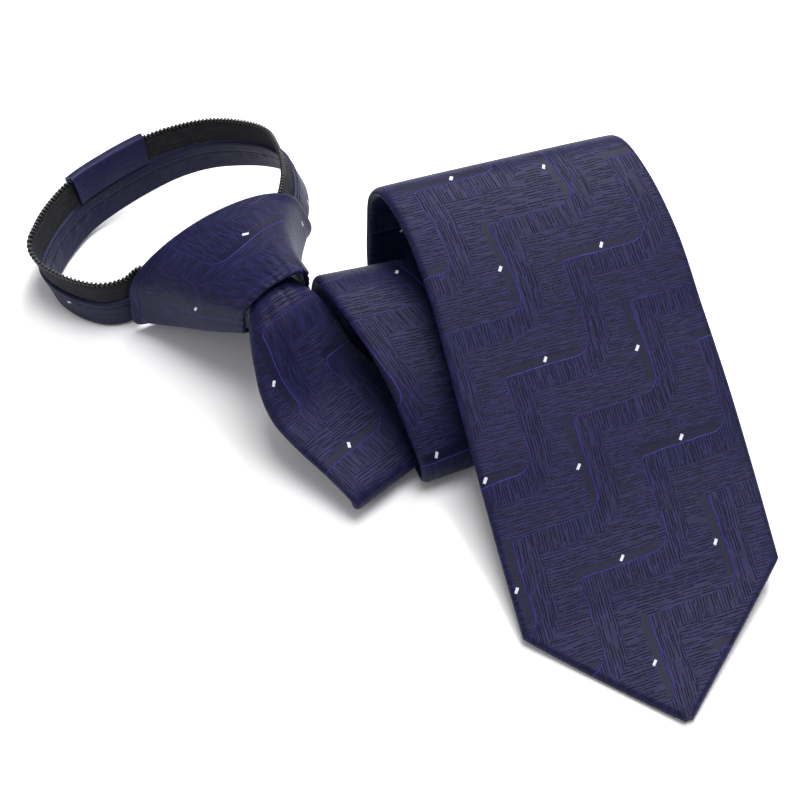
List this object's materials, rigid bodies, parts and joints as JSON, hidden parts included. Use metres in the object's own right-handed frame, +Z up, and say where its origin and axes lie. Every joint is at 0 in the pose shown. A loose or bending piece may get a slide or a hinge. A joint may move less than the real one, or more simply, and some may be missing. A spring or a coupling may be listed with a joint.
{
  "type": "zipper tie",
  "caption": "Ready-tied neck tie with a zip neck band, rolled up with its wide end laid out in front.",
  "frame": {"origin": "on the surface it lies on, in the middle of the flat underside of the roll", "axes": "+Z up, -Y towards the blade's point, +X towards the blade's side of the roll and -X towards the neck band"},
  "size_m": [0.1895, 0.2461, 0.0587],
  "materials": {
    "tie_cloth": "navy woven cloth with a low sheen",
    "strap_cloth": "navy woven cloth with a low sheen",
    "zip_tape": "black woven tape, matt",
    "zip_teeth": "black nylon coil, satin"
  },
  "bodies": {
    "root": {"blade": "tie_cloth", "knot": "tie_cloth", "neck_strap": "strap_cloth", "nape_sleeve": "strap_cloth", "zip_tape_left": "zip_tape", "zip_tape_right": "zip_tape", "zip_teeth_left": "zip_teeth", "zip_teeth_right": "zip_teeth"}
  },
  "joints": []
}
